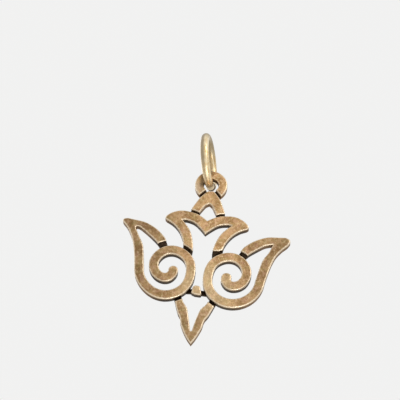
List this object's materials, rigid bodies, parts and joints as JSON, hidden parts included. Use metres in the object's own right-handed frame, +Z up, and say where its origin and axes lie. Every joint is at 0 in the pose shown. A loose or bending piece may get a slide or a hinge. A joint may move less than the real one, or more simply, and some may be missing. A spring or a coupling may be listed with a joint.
{
  "type": "scroll dove charm",
  "caption": "Flat pierced metal charm of a descending scroll dove, with a soldered eyelet and a round-wire jump ring it swings from.",
  "frame": {"origin": "inside top of the jump ring, where a chain or thread passes", "axes": "+Z up from the beak to the ring as the charm hangs, -Y out of the face, +X to the right as the face is seen"},
  "size_m": [0.0177, 0.0062, 0.0244],
  "materials": {
    "charm_metal": "satin",
    "ring_wire": "satin"
  },
  "bodies": {
    "ring": {"jump_ring": "ring_wire"},
    "charm": {"eyelet": "charm_metal", "centre_tail_feather": "charm_metal", "tail_feather_pair": "charm_metal", "left_wing": "charm_metal", "right_wing": "charm_metal", "breast_drop": "charm_metal", "head": "charm_metal"}
  },
  "joints": [
    {"name": "charm_swing", "type": "hinge", "parent": "ring", "child": "charm", "pos_m": [0.001, 0.0004, -0.00497], "axis": [0, 1, 0], "range_deg": [-130, 115]}
  ]
}
